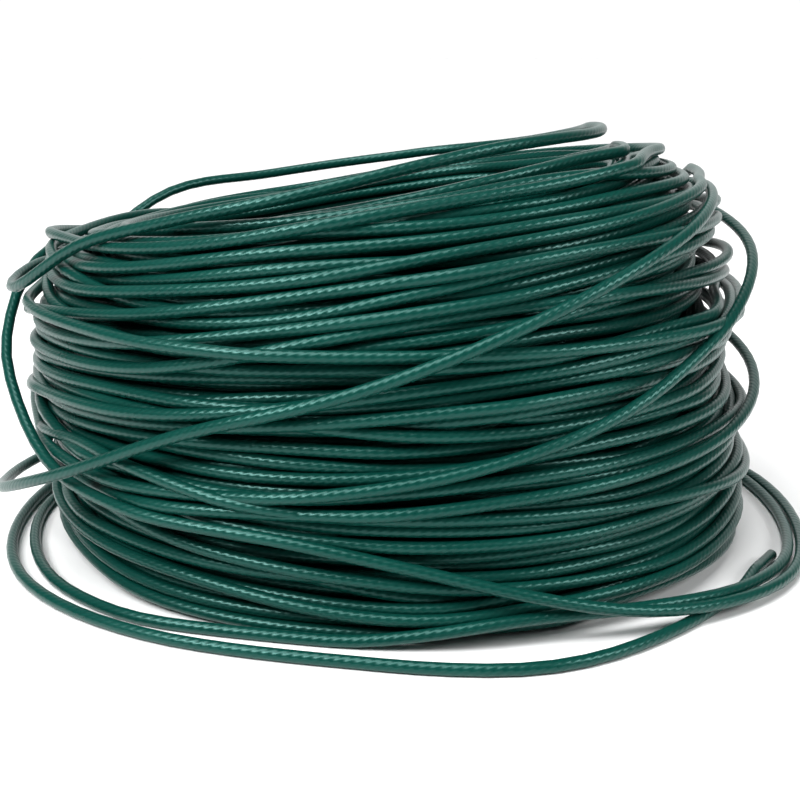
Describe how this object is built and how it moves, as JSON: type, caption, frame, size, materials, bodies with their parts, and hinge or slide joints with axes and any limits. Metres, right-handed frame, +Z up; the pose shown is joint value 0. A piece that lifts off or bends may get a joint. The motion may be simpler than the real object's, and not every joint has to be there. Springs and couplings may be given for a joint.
{
  "type": "coil of insulated wire",
  "caption": "Loose free-standing coil of dark green plastic-covered stranded wire with crossing turns, loose loops at the floor and bare cut ends",
  "frame": {"origin": "on the axis of the coil's bore, in the plane of the floor that the coil stands on", "axes": "+Z up along the bore, -Y towards the front where the crossing turns are, +X to the right, along the widest extent of the loose loops"},
  "size_m": [0.1674, 0.1586, 0.0836],
  "materials": {
    "sheath": "satin, with the lay of the strands showing through as slanted ridges",
    "conductor": "bare drawn copper"
  },
  "bodies": {
    "root": {"inner_sleeve": "sheath", "lower_lay": "sheath", "middle_lay": "sheath", "upper_lay": "sheath", "crown_lay": "sheath", "front_floor_turn": "sheath", "left_floor_turn": "sheath", "sweeping_turn": "sheath", "inner_right_floor_turn": "sheath", "left_crossing_turn": "sheath", "top_turn": "sheath", "right_upper_turn": "sheath", "right_middle_turn": "sheath", "inner_end_turn": "sheath", "outer_end_sheath": "sheath", "outer_end_strands": "conductor", "inner_end_sheath": "sheath", "inner_end_strands": "conductor"}
  },
  "joints": []
}
